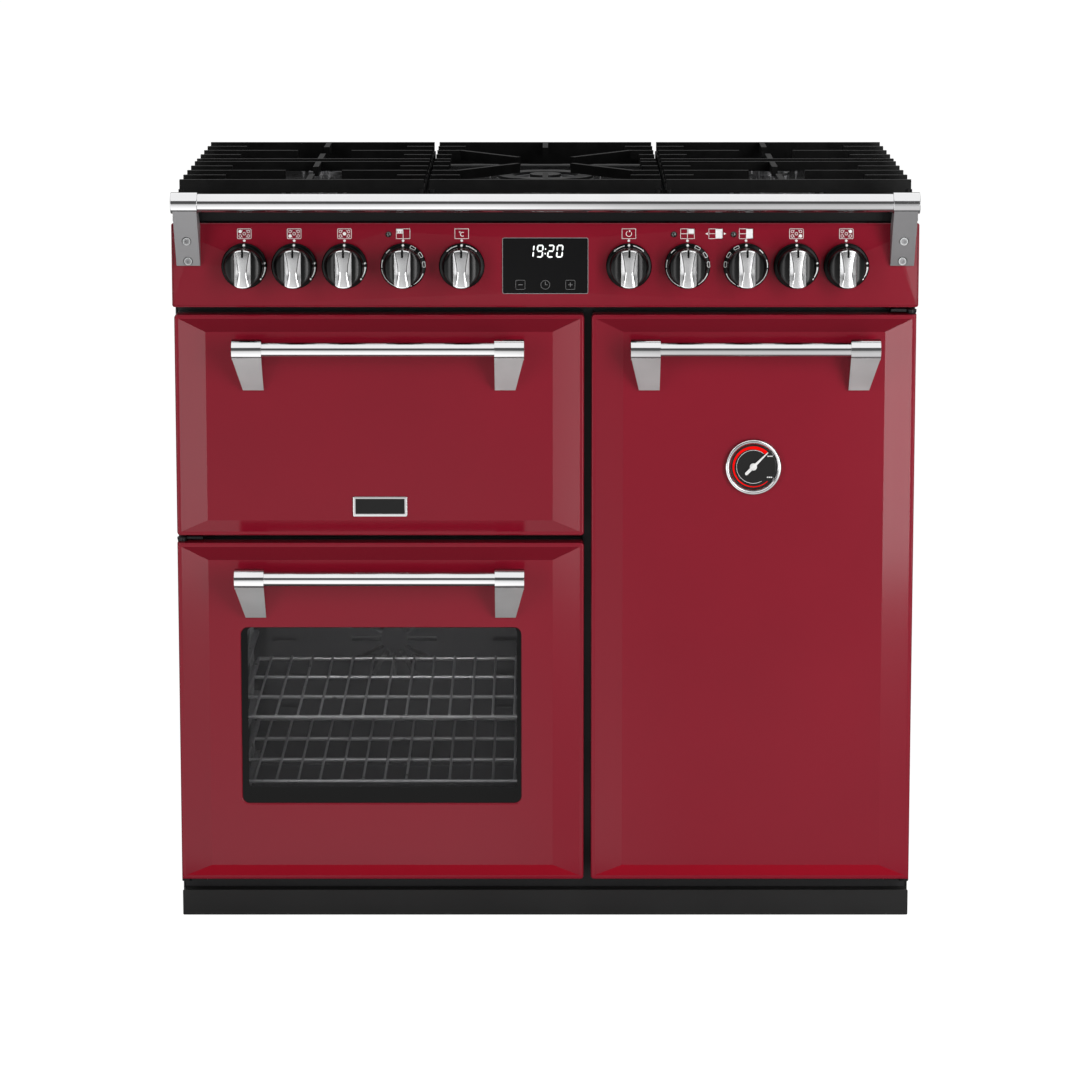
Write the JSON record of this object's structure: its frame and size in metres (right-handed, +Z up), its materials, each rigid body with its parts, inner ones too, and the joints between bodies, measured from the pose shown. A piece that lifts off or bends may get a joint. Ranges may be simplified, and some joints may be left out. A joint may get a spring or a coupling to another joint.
{
  "type": "range cooker",
  "caption": "Free-standing range cooker with a gas hob, drop-down grill door, windowed oven door, tall oven door, control knobs, clock and towel rail.",
  "frame": {"origin": "middle of the footprint's bounding box, on the floor under the feet", "axes": "+X to the right seen from the front, +Y to the back, +Z up"},
  "size_m": [0.9, 0.6567, 0.915],
  "materials": {
    "black_panels": "satin black paint on sheet steel",
    "zinc_steel": "zinc plated steel",
    "black_enamel": "gloss black vitreous enamel",
    "grey_enamel": "dark speckled vitreous enamel",
    "mineral_wool": "matt mineral wool board",
    "seal_rubber": "matt heat resisting rubber",
    "chromed_wire": "bright chrome plated wire",
    "heater_steel": "dull heat stained steel",
    "burner_alloy": "matt die cast alloy",
    "burner_enamel": "matt black enamel",
    "pipe_steel": "plain drawn steel",
    "brass": "machined brass",
    "red_enamel": "gloss deep red enamel",
    "black_glass": "polished black glass over a moulded case",
    "control_plastic": "matt moulded plastic",
    "chrome_trim": "polished chrome plate",
    "door_glass": "tinted polished glass",
    "pointer_paint": "matt white paint",
    "fan_steel": "pressed steel",
    "cast_iron": "matt black enamelled cast iron",
    "knob_black": "gloss black moulding with a chromed grip bar and a steel stem"
  },
  "bodies": {
    "cooker": {"outer_panels": "black_panels", "base_frame": "zinc_steel", "plinth": "black_panels", "front_frame": "black_enamel", "oven_liners": "grey_enamel", "insulation": "mineral_wool", "door_seals": "seal_rubber", "door_hinges": "black_panels", "shelf_runners": "chromed_wire", "fan_covers": "grey_enamel", "fan_motors": "zinc_steel", "heating_elements": "heater_steel", "hob_top": "black_enamel", "burner_bodies": "burner_alloy", "gas_pipes": "pipe_steel", "gas_taps": "brass", "facia": "red_enamel", "clock_display": "black_glass", "oven_controls": "control_plastic", "towel_rail": "chrome_trim", "rail_brackets": "chrome_trim"},
    "upper_door": {"upper_door_panel": "red_enamel", "upper_door_liner": "grey_enamel", "upper_door_handle": "chrome_trim", "badge_plate": "chrome_trim"},
    "lower_door": {"lower_door_panel": "red_enamel", "lower_door_liner": "grey_enamel", "lower_door_glass": "door_glass", "lower_door_handle": "chrome_trim"},
    "tall_door": {"tall_door_panel": "red_enamel", "tall_door_liner": "grey_enamel", "tall_door_handle": "chrome_trim", "gauge_case": "chrome_trim"},
    "gauge_pointer": {"gauge_pointer": "pointer_paint"},
    "main_fan": {"main_fan": "fan_steel"},
    "tall_fan": {"tall_fan": "fan_steel"},
    "main_shelf_upper": {"main_shelf_upper": "chromed_wire"},
    "main_shelf_lower": {"main_shelf_lower": "chromed_wire"},
    "tall_shelves": {"tall_shelves": "chromed_wire"},
    "grill_pan": {"grill_pan": "grey_enamel"},
    "pan_support_left": {"pan_support_left": "cast_iron"},
    "pan_support_middle": {"pan_support_middle": "cast_iron"},
    "pan_support_right": {"pan_support_right": "cast_iron"},
    "levelling_feet": {"levelling_feet": "zinc_steel"},
    "burner_caps": {"burner_caps": "burner_enamel"},
    "tap_plug_1": {"tap_plug_1": "brass"},
    "gas_knob_1": {"gas_knob_1": "knob_black"},
    "oven_knob_1": {"oven_knob_1": "knob_black"},
    "tap_plug_2": {"tap_plug_2": "brass"},
    "gas_knob_2": {"gas_knob_2": "knob_black"},
    "oven_knob_2": {"oven_knob_2": "knob_black"},
    "tap_plug_3": {"tap_plug_3": "brass"},
    "gas_knob_3": {"gas_knob_3": "knob_black"},
    "oven_knob_3": {"oven_knob_3": "knob_black"},
    "tap_plug_4": {"tap_plug_4": "brass"},
    "gas_knob_4": {"gas_knob_4": "knob_black"},
    "oven_knob_4": {"oven_knob_4": "knob_black"},
    "tap_plug_5": {"tap_plug_5": "brass"},
    "gas_knob_5": {"gas_knob_5": "knob_black"},
    "oven_knob_5": {"oven_knob_5": "knob_black"}
  },
  "joints": [
    {"name": "upper_door_hinge", "type": "hinge", "parent": "cooker", "child": "upper_door", "pos_m": [-0.2005, -0.26362, 0.496], "axis": [1, 0, 0], "range_deg": [0, 90]},
    {"name": "lower_door_hinge", "type": "hinge", "parent": "cooker", "child": "lower_door", "pos_m": [-0.443, -0.25762, 0.268], "axis": [0, 0, -1], "range_deg": [0, 105]},
    {"name": "tall_door_hinge", "type": "hinge", "parent": "cooker", "child": "tall_door", "pos_m": [0.443, -0.25762, 0.408], "axis": [0, 0, 1], "range_deg": [0, 105]},
    {"name": "tap_turn_1", "type": "hinge", "parent": "cooker", "child": "tap_plug_1", "pos_m": [-0.362, -0.23162, 0.819], "axis": [0, -1, 0], "range_deg": [0, 130]},
    {"name": "gas_knob_push_1", "type": "slide", "parent": "tap_plug_1", "child": "gas_knob_1", "axis": [0, 1, 0], "range_m": [0, 0.003], "stiffness_N_per_m": 800, "springref_m": -0.001},
    {"name": "tap_turn_2", "type": "hinge", "parent": "cooker", "child": "tap_plug_2", "pos_m": [-0.302, -0.23162, 0.819], "axis": [0, -1, 0], "range_deg": [0, 130]},
    {"name": "gas_knob_push_2", "type": "slide", "parent": "tap_plug_2", "child": "gas_knob_2", "axis": [0, 1, 0], "range_m": [0, 0.003], "stiffness_N_per_m": 800, "springref_m": -0.001},
    {"name": "tap_turn_3", "type": "hinge", "parent": "cooker", "child": "tap_plug_3", "pos_m": [-0.2415, -0.23162, 0.819], "axis": [0, -1, 0], "range_deg": [0, 130]},
    {"name": "gas_knob_push_3", "type": "slide", "parent": "tap_plug_3", "child": "gas_knob_3", "axis": [0, 1, 0], "range_m": [0, 0.003], "stiffness_N_per_m": 800, "springref_m": -0.001},
    {"name": "tap_turn_4", "type": "hinge", "parent": "cooker", "child": "tap_plug_4", "pos_m": [0.302, -0.23162, 0.819], "axis": [0, -1, 0], "range_deg": [0, 130]},
    {"name": "gas_knob_push_4", "type": "slide", "parent": "tap_plug_4", "child": "gas_knob_4", "axis": [0, 1, 0], "range_m": [0, 0.003], "stiffness_N_per_m": 800, "springref_m": -0.001},
    {"name": "tap_turn_5", "type": "hinge", "parent": "cooker", "child": "tap_plug_5", "pos_m": [0.362, -0.23162, 0.819], "axis": [0, -1, 0], "range_deg": [0, 130]},
    {"name": "gas_knob_push_5", "type": "slide", "parent": "tap_plug_5", "child": "gas_knob_5", "axis": [0, 1, 0], "range_m": [0, 0.003], "stiffness_N_per_m": 800, "springref_m": -0.001},
    {"name": "grill_knob_turn", "type": "hinge", "parent": "cooker", "child": "oven_knob_1", "pos_m": [-0.171, -0.29163, 0.819], "axis": [0, -1, 0], "range_deg": [0, 320]},
    {"name": "degree_knob_turn", "type": "hinge", "parent": "cooker", "child": "oven_knob_2", "pos_m": [-0.1005, -0.29163, 0.819], "axis": [0, -1, 0], "continuous": true},
    {"name": "clock_knob_turn", "type": "hinge", "parent": "cooker", "child": "oven_knob_3", "pos_m": [0.1005, -0.29163, 0.819], "axis": [0, -1, 0], "continuous": true},
    {"name": "main_oven_knob_turn", "type": "hinge", "parent": "cooker", "child": "oven_knob_4", "pos_m": [0.171, -0.29163, 0.819], "axis": [0, -1, 0], "range_deg": [0, 320]},
    {"name": "tall_oven_knob_turn", "type": "hinge", "parent": "cooker", "child": "oven_knob_5", "pos_m": [0.2415, -0.29163, 0.819], "axis": [0, 1, 0], "range_deg": [0, 221]},
    {"name": "gauge_turn", "type": "hinge", "parent": "tall_door", "child": "gauge_pointer", "pos_m": [0.252, -0.28063, 0.5745], "axis": [0, -1, 0], "range_deg": [0, 270]},
    {"name": "main_fan_spin", "type": "hinge", "parent": "cooker", "child": "main_fan", "pos_m": [-0.2005, 0.18038, 0.268], "axis": [0, 1, 0], "continuous": true},
    {"name": "tall_fan_spin", "type": "hinge", "parent": "cooker", "child": "tall_fan", "pos_m": [0.252, 0.18038, 0.408], "axis": [0, 1, 0], "continuous": true},
    {"name": "main_shelf_upper_slide", "type": "slide", "parent": "cooker", "child": "main_shelf_upper", "axis": [0, -1, 0], "range_m": [0, 0.035]},
    {"name": "main_shelf_lower_slide", "type": "slide", "parent": "cooker", "child": "main_shelf_lower", "axis": [0, -1, 0], "range_m": [0, 0.035]},
    {"name": "tall_shelves_slide", "type": "slide", "parent": "cooker", "child": "tall_shelves", "axis": [0, -1, 0], "range_m": [0, 0.035]},
    {"name": "grill_pan_slide", "type": "slide", "parent": "cooker", "child": "grill_pan", "axis": [0, -1, 0], "range_m": [0, 0.035]},
    {"name": "pan_support_left_lift", "type": "slide", "parent": "cooker", "child": "pan_support_left", "axis": [0, 0, 1], "range_m": [0, 0.05]},
    {"name": "pan_support_middle_lift", "type": "slide", "parent": "cooker", "child": "pan_support_middle", "axis": [0, 0, 1], "range_m": [0, 0.05]},
    {"name": "pan_support_right_lift", "type": "slide", "parent": "cooker", "child": "pan_support_right", "axis": [0, 0, 1], "range_m": [0, 0.05]},
    {"name": "burner_caps_lift", "type": "slide", "parent": "cooker", "child": "burner_caps", "axis": [0, 0, 1], "range_m": [0, 0.004]},
    {"name": "feet_height", "type": "slide", "parent": "cooker", "child": "levelling_feet", "axis": [0, 0, 1], "range_m": [-0.03, 0]}
  ]
}
